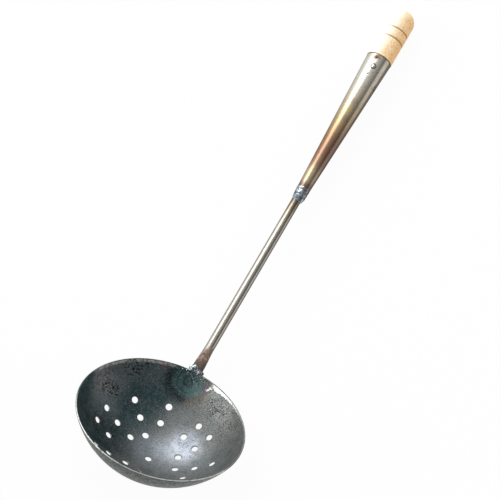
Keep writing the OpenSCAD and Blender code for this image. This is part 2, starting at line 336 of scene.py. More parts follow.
def dabbed(own, colour, soft, dabs):
    """A colour with soft round dabs of others, each (spot, reach, share, (red, green, blue))."""
    for spot, reach, share, tint in dabs:
        colour = mix(near(own, spot, reach, soft) * share, colour, tone(*tint))
    return colour


def close_finish(finish, colour, rough, height, relief, metallic=1.0, constants=()):
    """Ends a material with its shader: its colour, its roughness and the relief of its surface."""
    bump = made_by("ShaderNodeBump", {"Strength": 1.0, "Distance": relief, "Height": height})
    shader = made_by("ShaderNodeBsdfPrincipled",
                     {"Base Color": colour, "Roughness": rough, "Normal": bump,
                      "Metallic": metallic, **dict(constants)})
    add(finish.node_tree, "ShaderNodeOutputMaterial", {"Surface": shader})
    return finish


def on_wall(azimuth, down):
    """A point on the wall's inner face, by its azimuth from the handle and distance from the rim."""
    up, turn = RIM_ANGLE - down / IN_R, math.radians(azimuth)
    return (IN_R * math.sin(up) * math.cos(turn), IN_R * math.sin(up) * math.sin(turn),
            -IN_R * math.cos(up))


def patches(own, soft, places):
    """1 within soft round patches of the wall, each (azimuth, distance from the rim, reach)."""
    patch = 0.0
    for azimuth, down, reach in places:
        patch = most(patch, near(own, on_wall(azimuth, down), reach, soft))
    return patch


def bowl_finish():
    """Oxidised steel: dark and blue-green, bared to grey on the right, ringed by the weld's heat."""
    finish, own = new_finish("bowl_steel", BOWL)
    x, y, z = axes(own)
    broad = cloud(own, 38, 3)
    blotch = cloud(own, 170, 5, 0.6)
    grain = cloud(own, 1100, 3, 0.65)

    # The dark skin gives way to a barer grey on the right and in the bottom, where pale blue-grey dabs
    # are also painted highlight from the large lamp
    slant = y * -1.0 + x * -0.3 + (broad - 0.5) * 0.03
    pale = patches(own, 0.014, ((45, 0.002, 0.007), (62, 0.009, 0.012), (81, 0.028, 0.009)))
    pale = most(pale, near(own, on_wall(30, 0.001), 0.009, 0.014) * 0.75)
    inside = mix(pale * 0.9, tone(48, 73, 77), tone(106, 115, 117))
    inside = dabbed(own, inside, 0.016, ((on_wall(103, 0.038), 0.008, 0.6, (26, 44, 46)),
                                         (on_wall(102, 0.017), 0.006, 0.5, (26, 44, 46))))
    inside = mix(step(slant, -0.033, -0.004), inside, tone(120, 122, 119))
    # Painted highlight: the pale blue-grey dabs brighten the bottom where the large lamp's reflection
    # lies
    inside = dabbed(own, inside, 0.016, (
        ((0.008, 0.001, -0.0690), 0.009, 0.55, (116, 124, 135)),
        ((-0.007, 0.026, -0.0655), 0.008, 0.55, (30, 46, 48)),
        ((0.005, -0.029, -0.0635), 0.006, 0.65, (138, 143, 149)),
        ((0.0255, -0.0185, -0.063), 0.003, 1.0, (158, 163, 174)),
        ((0.010, 0.003, -0.0693), 0.004, 0.30, (150, 157, 165)),
        ((0.041, -0.0045, -0.0566), 0.004, 0.25, (146, 150, 154)),
        ((0.0183, -0.0219, -0.064), 0.002, 0.40, (182, 188, 198)),
        ((0.0047, -0.0452, -0.0533), 0.004, 0.35, (134, 142, 146)),
        ((-0.0094, 0.0361, -0.0593), 0.006, 0.50, (28, 50, 52)),
        ((-0.0018, 0.0625, -0.0316), 0.003, 0.40, (70, 84, 88)),
        (on_wall(-63, 0.001), 0.001, 0.5, (140, 142, 138)),
        (on_wall(-47, 0.003), 0.004, 0.6, (156, 153, 146))))
    inside = mix(step(blotch, 0.40, 0.62) * 0.25, inside, tone(120, 124, 124))
    inside = mix(step(cloud(own, 75, 3), 0.50, 0.66) * 0.30, inside, tone(50, 78, 82))

    # A mottled paler band on the left, with soot-dark blotches beside and below it
    band = near(own, on_wall(70, 0.01), 0.004, 0.014)
    mottle = step(cloud(own, 430, 4, 0.6), 0.44, 0.56)
    inside = mix(band * (mottle * 0.75), inside, tone(150, 146, 146))
    soot_and_shade = patches(own, 0.006, ((44, 0.0045, 0.005), (36, 0.004, 0.003), (40, 0.009, 0.003),
                                 (61, 0.021, 0.003), (68, 0.017, 0.002)))
    soot_and_shade = soot_and_shade * step(cloud(own, 600, 4, 0.6), 0.52, 0.57)
    inside = mix(soot_and_shade, inside, tone(12, 18, 20))

    # The heat of the weld behind it left a disc of faint rings in the skin
    away = how_far(own, on_wall(1.5, 0.008)) + (cloud(own, 140, 3) - 0.5) * 0.0046
    ring = bands(away * 45, (0.0, 46, 72, 78), (0.11, 60, 90, 92), (0.17, 26, 44, 50),
                 (0.23, 68, 102, 102), (0.33, 72, 106, 104), (0.38, 34, 56, 60),
                 (0.44, 76, 110, 106), (0.52, 56, 82, 84))
    ring = mix(step(y, -0.01, 0.01) * 0.3, ring, tone(34, 54, 58))
    ring = mix(step(y, -0.008, 0.003, 0.7, 0.0), ring, tone(106, 136, 131))
    halo = mix(step(y, -0.008, 0.002), tone(116, 108, 100), tone(20, 30, 36))
    ring = mix(step(away, 0.0112, 0.0142), ring, halo)
    inside = mix(step(away, 0.013, 0.0225, 1.0, 0.0) * 0.92, inside, ring)

    # Two small purple-brown heat spots beside the weld
    inside = dabbed(own, inside, 0.0035, ((on_wall(-11.5, 0.0065), 0.0012, 0.7, (96, 82, 108)),
                                          (on_wall(22, 0.002), 0.0012, 0.7, (116, 92, 104))))

    # Black specks and a little light spatter crowd under the weld; fine pits are rare elsewhere
    crowd = near(own, on_wall(-3, 0.001), 0.0035, 0.006)
    inside = mix(crowd * step(cloud(own, 900, 3, 0.6), 0.52, 0.58), inside, tone(14, 20, 24))
    spatter = made_by("ShaderNodeTexVoronoi", {"Vector": own, "Scale": 620}, "Distance")
    inside = mix(crowd * step(spatter, 0.22, 0.36, 0.85, 0.0), inside, tone(170, 186, 192))
    pit_cells = made_by("ShaderNodeTexVoronoi", {"Vector": own, "Scale": 800}, "Distance")
    rare = step(cloud(own, 90, 2), 0.45, 0.66)
    thick = most(near(own, on_wall(24, 0.012), 0.003, 0.01),
                 patches(own, 0.014, ((45, 0.032, 0.006), (62, 0.015, 0.006),
                                      (-30, 0.012, 0.006), (-50, 0.012, 0.006))))
    pit_size = most(thick * 0.8, rare * 0.6) * (blotch * 0.8)
    pit = step(pit_cells - pit_size, -0.1, 0.06, 1.0, 0.0)
    inside = mix(pit * 0.85, inside, tone(20, 28, 30))
    inside = mix(step(grain, 0.5, 0.72, 0.0, 0.75), inside, tone(30, 42, 44))
    inside = mix(step(grain, 0.3, 0.48, 0.35, 0.0), inside, tone(176, 182, 184))

    # Outside, a greener grey satin skin with faint rings from the spinning of the polish
    level = made_by("ShaderNodeCombineXYZ", {"Z": z})
    rings = made_by("ShaderNodeTexNoise", {"Vector": level, "Scale": 700, "Detail": 3})
    outside = mix(rings, tone(66, 74, 70), tone(104, 110, 104))
    outside = mix(step(grain, 0.4, 0.65, 0.0, 0.8), outside, tone(38, 44, 42))
    outside = mix(step(cloud(own, 620, 4, 0.7), 0.46, 0.56) * 0.75, outside, tone(146, 149, 141))
    # Painted shade: the outside is darker away from the handle, dulling its glancing reflection of the
    # floor
    outside = mix(step(x, -0.062, -0.038, 0.3, 0.0), outside, tone(52, 58, 55))
    from_middle = how_far(own)
    outer = step(from_middle, MID_R, OUT_R - 0.0001)
    skin_colour = mix(outer, inside, outside)

    # Bare metal where the punches sheared the wall, along the worn top of the rim, and on the lip
    # just inside it at the far left
    on_rim = step(z, -SPHERE_H - 0.0005, -SPHERE_H - 0.0002)
    off_rim = 1.0 - on_rim
    sheared = (step(from_middle, IN_R + 0.0001, IN_R + 0.0003)
               * step(from_middle, OUT_R - 0.0003, OUT_R - 0.0001, 1.0, 0.0) * off_rim)
    worn = on_rim * step(blotch, 0.34, 0.5, 0.35, 1.0) * step(x, -0.026, -0.01, 1.0, 0.0)
    lip = (step(z, -SPHERE_H - 0.003, -SPHERE_H - 0.0012)
           * step(from_middle, MID_R - 0.0001, MID_R + 0.0002, 1.0, 0.0)
           * step(x, 0.01, 0.026) * step(y, 0.008, 0.022)
           * step(cloud(own, 420, 4, 0.6), 0.42, 0.54, 0.2, 0.95) * off_rim)
    bare = most(sheared * 0.2, worn)

    # A streak rubbed bare under the rim, to the right of the weld, with a ragged patch at its start;
    # its near-white colour is a painted reflection of a lamp
    ragged = (cloud(own, 420, 4, 0.6) - 0.5) * 0.006
    width = step(y, -0.043, -0.018, 0.001, 0.003)
    streak = (step(z + ragged + SPHERE_H + width, -0.0003, 0.0003) * step(y, -0.0475, -0.041)
              * step(y, -0.0185, -0.015, 1.0, 0.0) * step(x, 0.0, 0.01))
    start = near(own, on_wall(-15, 0.0055), 0.0012, 0.0028) * step(ragged, -0.0001, 0.0004)
    rubbed_and_reflection = (most(streak, start) * step(cloud(own, 900, 3), 0.36, 0.48, 0.55, 1.0)
              * off_rim * (1.0 - outer))
    bare_tone = mix(step(y, -0.03, -0.008, 1.0, 0.0), tone(186, 187, 184), tone(238, 239, 236))
    colour = mix(bare, skin_colour, bare_tone)
    colour = mix(lip, colour, tone(206, 202, 194))
    colour = mix(rubbed_and_reflection, colour, tone(226, 226, 222))

    rough = step(blotch, 0.3, 0.7, 0.33, 0.44) + pit * 0.2 - bare * 0.08 + soot_and_shade * 0.3
    height = grain * 0.6 + blotch * 0.5 - pit * 0.9
    metal = step(most(outer, most(bare, rubbed_and_reflection)), 0.0, 1.0, 0.6, 0.95)
    return close_finish(finish, colour, rough, height, 0.00012, metal,
                        {"IOR": 1.5, "Specular Tint": (0.68, 0.69, 0.7, 1)})


bowl_steel = bowl_finish()
bowl = run_tree(as_piece("bowl_wall", turned(bowl_profile(), BOWL_SIDES)), punching_tree(),
                Marks=punch_marks(), HoleDiameter=HOLE_D, Sheet=SHEET, RolledEdge=ROLLED_EDGE,
                Finish=bowl_steel)
settle(bowl, BOWL, bowl_steel, "bowl")

# The rod
# Drawn round steel, flattened at its foot under the hammer and bent to lie along the outside of
# the bowl. It is left bare, so the heat of the welds shows as brown scale and dull straw on it.
ROD_D, ROD_SIDES = 0.0072, 48
TIP_RINGS, LAP_RINGS, BEND_RINGS, BLEND_RINGS, ROD_RINGS = 10, 12, 14, 16, 24
ROD_LEN = 0.163
ROD_GRIP = 0.014
HANDLE_RISE = math.radians(26)
FOOT_W, FOOT_T = 0.009, 0.0044
FOOT_LAP, FOOT_BEND_R, FOOT_BLEND = 0.015, 0.006, 0.018
FOOT_SQUARENESS = 2.8
LAP_GAP = 0.0001
DARK_EDGE = (0.35, 0.34, 0.33, 1)  # Dirty steel gleams no brighter than this at a glancing angle
LAP_R = OUT_R + LAP_GAP + FOOT_T / 2
BEND_OUT = LAP_R + FOOT_BEND_R
BEND_END = Vector((BEND_OUT * math.sin(RIM_ANGLE) - FOOT_BEND_R * math.sin(HANDLE_RISE), 0,
                   FOOT_BEND_R * math.cos(HANDLE_RISE) - BEND_OUT * math.cos(RIM_ANGLE)))
HANDLE = BOWL @ Matrix.Translation(BEND_END) @ Matrix.Rotation(math.pi / 2 - HANDLE_RISE, 4, "Y")


def rod_section(at_x, at_z, lean, width, thick, squareness):
    """A ring of points across the rod: a rounded rectangle, or a circle at squareness 2."""
    ring = []
    for i in range(ROD_SIDES):
        turn = 2 * math.pi * i / ROD_SIDES
        across = width / 2 * math.copysign(abs(math.cos(turn)) ** (2 / squareness), math.cos(turn))
        up = thick / 2 * math.copysign(abs(math.sin(turn)) ** (2 / squareness), math.sin(turn))
        ring.append((at_x - up * math.sin(lean), across, at_z + up * math.cos(lean)))
    return ring


def rod_rings():
    """Sections from the rounded tip of the foot, along the wall and the bend, to the rod's end."""
    rings = []
    tip_share, lap_turn = FOOT_W / 2 / FOOT_LAP, FOOT_LAP / LAP_R
    lap_parts = [(tip_share * (1 - math.cos(t)), math.sin(t))
                 for t in (math.pi / 2 * (i + 0.4) / TIP_RINGS for i in range(TIP_RINGS))]
    lap_parts += [(tip_share + (1 - tip_share) * i / LAP_RINGS, 1) for i in range(LAP_RINGS + 1)]
    for part, fullness in lap_parts:
        lean = RIM_ANGLE - lap_turn * (1 - part)
        rings.append(rod_section(LAP_R * math.sin(lean), -LAP_R * math.cos(lean), lean,
                                 FOOT_W * fullness, FOOT_T * (1 + fullness) / 2, FOOT_SQUARENESS))
    for i in range(1, BEND_RINGS + 1):
        lean = RIM_ANGLE + (HANDLE_RISE - RIM_ANGLE) * i / BEND_RINGS
        rings.append(rod_section(BEND_OUT * math.sin(RIM_ANGLE) - FOOT_BEND_R * math.sin(lean),
                                 FOOT_BEND_R * math.cos(lean) - BEND_OUT * math.cos(RIM_ANGLE),
                                 lean, FOOT_W, FOOT_T, FOOT_SQUARENESS))
    stations = [FOOT_BLEND * i / BLEND_RINGS for i in range(1, BLEND_RINGS + 1)]
    stations += [FOOT_BLEND + (ROD_LEN + ROD_GRIP - FOOT_BLEND) * i / ROD_RINGS
                 for i in range(1, ROD_RINGS + 1)]
    for along in stations:
        part = min(1, along / FOOT_BLEND)
        ease = part * part * (3 - 2 * part)
        rings.append(rod_section(
            BEND_END.x + along * math.cos(HANDLE_RISE), BEND_END.z + along * math.sin(HANDLE_RISE),
            HANDLE_RISE, FOOT_W + (ROD_D - FOOT_W) * ease, FOOT_T + (ROD_D - FOOT_T) * ease,
            FOOT_SQUARENESS + (2 - FOOT_SQUARENESS) * ease))
    return rings


def lofted(rings):
    """A solid through rings of points, closed to the middle of its first and last ring."""
    mesh = bmesh.new()
    ends = [[tuple(sum(axis) / len(ring) for axis in zip(*ring))] for ring in (rings[0], rings[-1])]
    rows = [[mesh.verts.new(point) for point in ring] for ring in [ends[0], *rings, ends[1]]]
    skin(mesh, rows)
    return mesh


def scratches(own, across, along):
    """Fine scratches that run along a piece's own Z."""
    return cloud(vector("MULTIPLY", own, (across, across, along)), 1.0, 4, 0.6)


def away_from_lamps(x, y, radius, start, end):
    """How far a place lies towards the side of a round piece that faces away from the lamps."""
    return step((y * -0.987 + x * 0.16) / radius, start, end)


def rod_finish():
    """Bare drawn steel, browned at the foot, over its length from the foot's bend."""
    finish, own = new_finish("rod_steel", HANDLE)
    x, y, z = axes(own)
    blotch = cloud(own, 210, 4)
    along = z + (blotch - 0.5) * 0.010
    heat = bands((along + 0.02) / (ROD_LEN + 0.02), (0.0, 92, 98, 104), (0.08, 112, 104, 98),
                 (0.13, 136, 122, 112), (0.17, 150, 138, 126), (0.20, 182, 178, 168),
                 (0.31, 182, 176, 166), (0.60, 182, 177, 168), (0.85, 180, 174, 162),
                 (0.92, 156, 146, 128), (0.96, 122, 112, 98), (0.985, 104, 100, 96), (1.0, 94, 96, 98))
    fine = scratches(own, 2600, 60)
    colour = mix(step(fine, 0.35, 0.75, 0.0, 0.35), heat, tone(112, 106, 98))
    stain = step(cloud(own, 420, 4, 0.65), 0.58, 0.7)
    colour = mix(stain * 0.4, colour, tone(96, 88, 80))
    # Painted shade: the rod is darker on its side away from the lamps
    painted_shade = away_from_lamps(x, y, ROD_D / 2, 0.68, 0.86)
    colour = mix(painted_shade * 0.85, colour, tone(98, 94, 90))

    # Rough brown scale covers the foot and ends in a ragged point up the rod
    ragged = (cloud(own, 420, 4, 0.6) - 0.5) * 0.008
    scale = step(z + ragged + y * 0.8, 0.0125, 0.017, 1.0, 0.0)
    flaky = cloud(own, 620, 4, 0.6)
    brown = mix(step(flaky, 0.4, 0.62), tone(182, 158, 143), tone(128, 110, 99))
    brown = mix(step(z, 0.002, 0.007, 0.7, 0.0), brown, tone(84, 78, 74))
    soft_end = step(z, 0.012, 0.024, 0.4, 0.0)
    colour = mix(soft_end, colour, tone(138, 128, 116))
    colour = mix(scale * 0.9, colour, brown)
    rough = step(fine, 0.3, 0.7, 0.2, 0.32) + soft_end * 0.4 + scale * 0.45
    height = fine * 0.5 + blotch * 0.8 + scale * flaky
    metal = 1.0 - scale * 0.35
    return close_finish(finish, colour, rough, height, 0.00008, metal, {"Specular Tint": DARK_EDGE})


rod = settle(as_piece("rod_and_foot", lofted(rod_rings())), BOWL, rod_finish(), "shaft", sharp=50)

# The foot's weld
# A hand-laid fillet of weld metal runs down one side of the foot, round its tip and up the other,
# and thicker lumps close the corner at the rim. All of it is rippled, glossy and blue-grey.
FILLET_R = 0.00115
FILLET_OUT = 0.00060
SPATTER_DROPS = 34
WELD_VOXEL = 0.00013


def bead_tree():
    """Weld metal along paths: overlapping drops of uneven size, melted into one rippled skin."""
    tree, given = new_tree("weld_bead", Spacing="Float", Unevenness="Float", Voxel="Float",
                           Smoothing="Int", Seed="Int", Finish="Material")
    path = made_by("GeometryNodeMeshToCurve", {0: given["Geometry"]})
    even = made_by("GeometryNodeResampleCurve", {"Curve": path, "Length": given["Spacing"]},
                   mode="LENGTH")
    drops = made_by("GeometryNodeCurveToPoints", {"Curve": even}, "Points", mode="EVALUATED")
    size = made_by("GeometryNodeInputNamedAttribute", {"Name": "bead"}, tree=tree, data_type="FLOAT")
    stray = made_by("FunctionNodeRandomValue", {2: -0.8, 3: 0.8, "Seed": given["Seed"]}, 1,
                    data_type="FLOAT")
    radius = size * reckon("MULTIPLY_ADD", stray, given["Unevenness"], 1.0)
    jog = made_by("FunctionNodeRandomValue",
                  {0: (-1, -1, -1), 1: (1, 1, 1), "Seed": given["Seed"]}, data_type="FLOAT_VECTOR")
    jogged = vector("MULTIPLY", jog, size * given["Unevenness"])
    moved = made_by("GeometryNodeSetPosition", {0: drops, "Offset": jogged})
    volume = made_by("GeometryNodePointsToVolume",
                     {"Points": moved, "Voxel Size": given["Voxel"], "Radius": radius},
                     resolution_mode="VOXEL_SIZE")
    melted = made_by("GeometryNodeVolumeToMesh", {"Volume": volume, "Threshold": 0.1},
                     resolution_mode="GRID")
    at = made_by("GeometryNodeInputPosition", tree=tree)
    evened = made_by("GeometryNodeBlurAttribute", {"Value": at, "Iterations": given["Smoothing"]},
                     data_type="FLOAT_VECTOR")
    smooth = made_by("GeometryNodeSetPosition", {0: melted, "Position": evened})
    return finish_off(tree, smooth, given["Finish"])


def weld_paths(name, paths):
    """A piece of bare paths for the bead tree: each path is a list of (point, bead radius)."""
    mesh = bmesh.new()
    bead = mesh.verts.layers.float.new("bead")
    for path in paths:
        verts = []
        for point, radius in path:
            vert = mesh.verts.new(point)
            vert[bead] = radius
            verts.append(vert)
        for first, second in zip(verts, verts[1:]):
            mesh.edges.new((first, second))
    return as_piece(name, mesh)


def outside_wall(down, left, height):
    """A point over the wall's outer face, by its way down from the rim and left of the handle."""
    up, turn, radius = RIM_ANGLE - down / OUT_R, left / OUT_R, OUT_R + height
    return (radius * math.sin(up) * math.cos(turn), radius * math.sin(turn),
            -radius * math.cos(up) * math.cos(turn))


def foot_paths():
    """The fillet round the foot, the lumps over the rim in front of it, and the spatter beside it."""
    side_len, side_at = FOOT_LAP - FOOT_W / 2, FOOT_W / 2 + FILLET_OUT
    fillet = [(outside_wall(side_len * i / 8, side_at, FILLET_OUT), FILLET_R) for i in range(8)]
    for i in range(17):
        turn = math.pi * i / 16
        fillet.append((outside_wall(side_len + side_at * math.sin(turn), side_at * math.cos(turn),
                                    FILLET_OUT), FILLET_R))
    fillet += [(outside_wall(side_len * (7 - i) / 8, -side_at, FILLET_OUT), FILLET_R) for i in range(8)]
    paths = [fillet]

    # Rows of lumps along the rim, over the foot; each row is (x, z, radius, from y, to y)
    for x, z, radius, right, left in ((0.0657, -0.0292, 0.0012, -0.0058, 0.0054),
                                      (0.0656, -0.0275, 0.0018, -0.0050, 0.0050),
                                      (0.0663, -0.0266, 0.0018, 0.0000, 0.0044),
                                      (0.0645, -0.0285, 0.0011, -0.0060, 0.0060)):
        row = []
        for i in range(11):
            share = i / 5 - 1
            y = right + (left - right) * i / 10
            full = radius * (0.6 + 0.4 * math.sqrt(1 - share * share))
            row.append(((x - y * y / RIM_D, y, z), full))
        paths.append(row)

    rng = random.Random(8)
    for _ in range(SPATTER_DROPS):
        azimuth, down = rng.triangular(-17, 9, -8), rng.triangular(-0.2e-3, 5.5e-3, 0.4e-3)
        at, drop = Vector(on_wall(azimuth, down)), rng.triangular(0.00022, 0.00060, 0.0003)
        paths.append([(at, drop), (at + Vector((0, 1.2 * drop, 0)), 0.8 * drop)])
    return paths


def weld_finish(name, place, lump, relief, slag_share, detail, soot_and_shade):
    """Glossy weld scale with dark slag and a little rust; the last argument is a band from y, to y, and
    its share, painted darker as shade on the side away from the lamps.
    """
    finish, own = new_finish(name, place)
    lumps = cloud(own, lump, detail, 0.5)
    slag = cloud(own, 2.4 * lump, detail, 0.6)
    colour = bands(slag, (0.40, 222, 228, 232), (0.54, 156, 166, 172), (0.65, 64, 72, 76),
                   (0.78, 34, 40, 44))
    colour = mix(slag_share, tone(143, 154, 160), colour)
    rusty = step(cloud(own, 420, 2), 0.56, 0.68, 0.0, 0.35)
    colour = mix(rusty, colour, tone(112, 98, 94))
    # Painted shade: the weld is darker in a band on its side away from the lamps
    side = step(axes(own)[1], *soot_and_shade, 0.0)
    colour = mix(side, colour, tone(70, 62, 58))
    rough = step(slag, 0.4, 0.65, 0.3 - 0.14 * slag_share, 0.3 + 0.1 * slag_share) + side * 0.3
    return close_finish(finish, colour, rough, lumps + slag * 0.25, relief,
                        constants={"Specular Tint": DARK_EDGE})


bead_maker = bead_tree()
weld_metal = weld_finish("weld_metal", BOWL, 380, 0.00025, 0.9, 2, (-0.0042, -0.0020, 0.5))
foot_weld = run_tree(weld_paths("foot_weld", foot_paths()), bead_maker, Spacing=0.0012,
                     Unevenness=0.32, Voxel=WELD_VOXEL, Smoothing=1, Seed=11, Finish=weld_metal)
settle(foot_weld, BOWL, weld_metal, "bowl_weld", sharp=80)

# The socket
# Sheet rolled into a long cone, with its butt seam left open on the underside. The narrow end was
# welded to the rod, and the heat ran up it in bands: brown, straw, bronze, straw, then bare steel.
SOCKET_LEN = 0.133
SOCKET_TIP_D, SOCKET_MOUTH_D = 0.0097, 0.0203
SOCKET_SLOPE = (SOCKET_MOUTH_D - SOCKET_TIP_D) / 2 / SOCKET_LEN
SOCKET_T = 0.0008
SOCKET_SIDES, EDGE_RINGS, PLAIN_RINGS, DENT_RINGS = 144, 4, 40, 64
SEAM_W = 0.0004
# Each dent is its distance from the narrow end, its turn round the axis, its reach and its depth
DENTS = ((0.1292, 3.025, 0.0019, 0.00040), (0.1143, 3.030, 0.0005, 0.00015),
         (0.1065, 4.380, 0.0009, 0.00015), (0.1090, 4.300, 0.0007, 0.00015))
DENTS_FROM = 0.1
EDGE_R = 0.0002
ROD_SHIFT = 0.00035
NAIL_AT = 0.011
SOCKET = HANDLE @ Matrix.Translation((0, -ROD_SHIFT, ROD_LEN))


def socket_radius(along):
    """The socket's outer radius at a distance from its narrow end."""
    return (SOCKET_TIP_D + (SOCKET_MOUTH_D - SOCKET_TIP_D) * along / SOCKET_LEN) / 2


def socket_ring(along, inset):
    """The rolled sheet's section: round the outside from one edge of the seam, back inside."""
    outer = socket_radius(along)
    points = []
    for radius, order in ((outer - inset, 1), (outer - SOCKET_T + inset, -1)):
        gap = SEAM_W / 2 / radius
        turns = [gap + (2 * math.pi - 2 * gap) * i / SOCKET_SIDES for i in range(SOCKET_SIDES + 1)]
        for turn in turns[::order]:
            sunk = sum(depth * math.exp(-((along - at) ** 2 + (radius * (turn - side)) ** 2)
                                        / reach ** 2) for at, side, reach, depth in DENTS)
            points.append(((radius - sunk) * math.cos(turn), (radius - sunk) * math.sin(turn), along))
    return points


def rolled_socket():
    """The cone's wall, with a little rounding at both ends and finer steps where the dents are."""
    rows = [(EDGE_R * (1 - math.cos(t)), EDGE_R * (1 - math.sin(t)))
            for t in (math.pi / 2 * i / EDGE_RINGS for i in range(EDGE_RINGS + 1))]
    rows += [(DENTS_FROM * i / PLAIN_RINGS, 0) for i in range(1, PLAIN_RINGS)]
    rows += [(DENTS_FROM + (SOCKET_LEN - EDGE_R - DENTS_FROM) * i / DENT_RINGS, 0)
             for i in range(DENT_RINGS)]
    rows += [(SOCKET_LEN - along, inset) for along, inset in rows[EDGE_RINGS::-1]]
    mesh = bmesh.new()
    rings = [[mesh.verts.new(p) for p in socket_ring(along, inset)] for along, inset in rows]
    skin(mesh, rings)
    for ring in (rings[0], rings[-1]):
        for i in range(SOCKET_SIDES):
            mesh.faces.new((ring[i], ring[i + 1], ring[-2 - i], ring[-1 - i]))
    return mesh


def socket_finish():
    """Bare steel with its heat colours, by the distance from the weld, under fine rubbed lines."""
    finish, own = new_finish("socket_steel", SOCKET)
    x, y, z = axes(own)
    drift = cloud(own, 60, 3)
    along = z + (drift - 0.5) * 0.010
    heat = bands(along / SOCKET_LEN, (0.0, 100, 108, 118), (0.045, 118, 106, 104),
                 (0.07, 150, 122, 106), (0.10, 184, 170, 142), (0.15, 188, 170, 138),
                 (0.22, 160, 128, 104), (0.30, 150, 116, 94), (0.40, 154, 122, 94),
                 (0.49, 176, 148, 112), (0.60, 194, 176, 144), (0.72, 206, 196, 176),
                 (0.84, 212, 207, 196), (0.96, 216, 212, 203), (1.0, 206, 200, 188))

    # A brown film on the side away from the lamps turns mauve where the steel grew hottest, and three
    # ragged stains lie further up
    radius = z * SOCKET_SLOPE + SOCKET_TIP_D / 2
    ragged = (cloud(own, 150, 3) - 0.5) * 0.25
    lee = away_from_lamps(x, y, radius, -0.05, 0.55)
    mauve = step(along, 0.045, 0.095, 1.0, 0.0)
    film = mix(mauve, tone(168, 152, 122), tone(120, 98, 100))
    lee = lee * step(z, 0.05, 0.115, 0.42, 0.35)
    heat = mix(lee, heat, film)
    # Painted shade: the socket is darker still on its side away from the lamps
    painted_shade = step(away_from_lamps(x, y, radius, 0.6, 0.95) + ragged, 0.15, 0.75)
    painted_shade = painted_shade * step(z, 0.08, 0.13, 0.85, 0.8)
    heat = mix(painted_shade, heat, tone(96, 86, 80))
    for spot, share, tint in (((-0.0081, 0.0003, 0.081), 0.5, (206, 196, 108)),
                              ((-0.0083, -0.0010, 0.0885), 0.4, (172, 144, 152)),
                              ((-0.0075, -0.0012, 0.0725), 0.4, (168, 128, 122))):
        blotch = step(near(own, spot, 0.001, 0.0034) + ragged, 0.2, 0.9)
        heat = mix(blotch * share, heat, tone(*tint))

    fine = scratches(own, 2200, 45)
    scratch_share = step(fine, 0.35, 0.75, 0.0, 0.3) * step(z, 0.06, 0.12, 1.0, 0.4)
    colour = mix(scratch_share, heat, tone(120, 110, 98))
    stain = step(cloud(own, 330, 4, 0.65), 0.58, 0.72)
    colour = mix(stain * 0.4, colour, tone(104, 92, 80))
    shade = step(z, SOCKET_LEN - 0.0006, SOCKET_LEN - 0.0003)
    colour = mix(shade * 0.85, colour, tone(64, 50, 40))

    # Dirt and painted shadow round the nail's head and in the dents
    nail_side = (-SOCKET_MOUTH_D / 2 + 0.0004, 0, SOCKET_LEN - NAIL_AT)
    dirt_and_shade = near(own, nail_side, 0.0021, 0.0006) * 0.9
    for at, side, reach, depth in DENTS:
        out = SOCKET_TIP_D / 2 + SOCKET_SLOPE * at - depth
        spot = (out * math.cos(side), out * math.sin(side), at + reach / 3)
        tint = near(own, spot, reach * 0.8, reach * 1.4)
        if reach > 0.0006:
            colour = mix(tint * 0.8, colour, tone(124, 100, 66))
        dirt_and_shade = most(dirt_and_shade, near(own, spot, 0.0004, 0.0006) * 0.9)
    colour = mix(dirt_and_shade, colour, tone(66, 54, 40))
    rough = step(fine, 0.3, 0.7, 0.19, 0.3)
    height = fine * 0.25 + drift * 0.4
    return close_finish(finish, colour, rough, height, 0.00008, 0.86, {"Specular Tint": DARK_EDGE})


socket = settle(as_piece("rolled_socket", rolled_socket()), SOCKET, socket_finish(), "socket")

# The socket's weld
# A lumpy collar of weld metal closes the cone's narrow end on the rod. It was built up in a few
# short runs, so it is thicker on one side, glossy and blue-grey like the weld at the foot.
COLLAR_BEAD, COLLAR_SIDES = 0.0011, 32
COLLAR_SLUMP, COLLAR_LEAN = 0.0007, 0.00022
RUN_W, RUN_RELIEF = 0.0034, 0.00016
# Each ring of paths is its height over the socket's narrow end, then its outer radius
COLLAR = ((-0.0040, 0.00385), (-0.0032, 0.00425), (-0.0024, 0.00455), (-0.0016, 0.00466),
          (-0.0008, 0.00474), (0.0000, 0.00492), (0.0008, 0.00500), (0.0016, 0.00500),
          (0.0024, 0.00492), (0.0032, 0.00508), (0.0040, 0.00516), (0.0048, 0.00517),
          (0.0056, 0.00512), (0.0064, 0.00520), (0.0070, 0.00520))


def on_rod(height):
    """1 on the rod's side of the collar, falling to 0 where it meets the cone."""
    return max(0.0, min(1.0, (0.004 - height) / 0.006))


def collar_paths():
    """Soft runs of weld round the rod and over the socket's edge, in close rings of paths."""
    rng = random.Random(5)
    paths = []
    for height, outer in COLLAR:
        start = rng.uniform(0, 2 * math.pi)
        ring = []
        for i in range(COLLAR_SIDES + 1):
            turn = start + 2 * math.pi * i / COLLAR_SIDES
            slump = COLLAR_SLUMP * math.sin(turn + 2.4) * on_rod(height)
            out = outer - COLLAR_BEAD + COLLAR_LEAN * math.cos(turn + math.pi / 2) * on_rod(height)
            out += RUN_RELIEF * math.cos(2 * math.pi * (height + 0.0009) / RUN_W)
            ring.append(((out * math.cos(turn), out * math.sin(turn), height + slump), COLLAR_BEAD))
        paths.append(ring)
    return paths


collar_metal = weld_finish("collar_metal", SOCKET, 100, 0.0002, 0.35, 1, (-0.0049, -0.0039, 0.7))
socket_weld = run_tree(weld_paths("collar_weld", collar_paths()), bead_maker, Spacing=0.0006,
                       Unevenness=0.06, Voxel=WELD_VOXEL, Smoothing=8, Seed=4, Finish=collar_metal)
settle(socket_weld, SOCKET, collar_metal, "socket_weld", sharp=80)

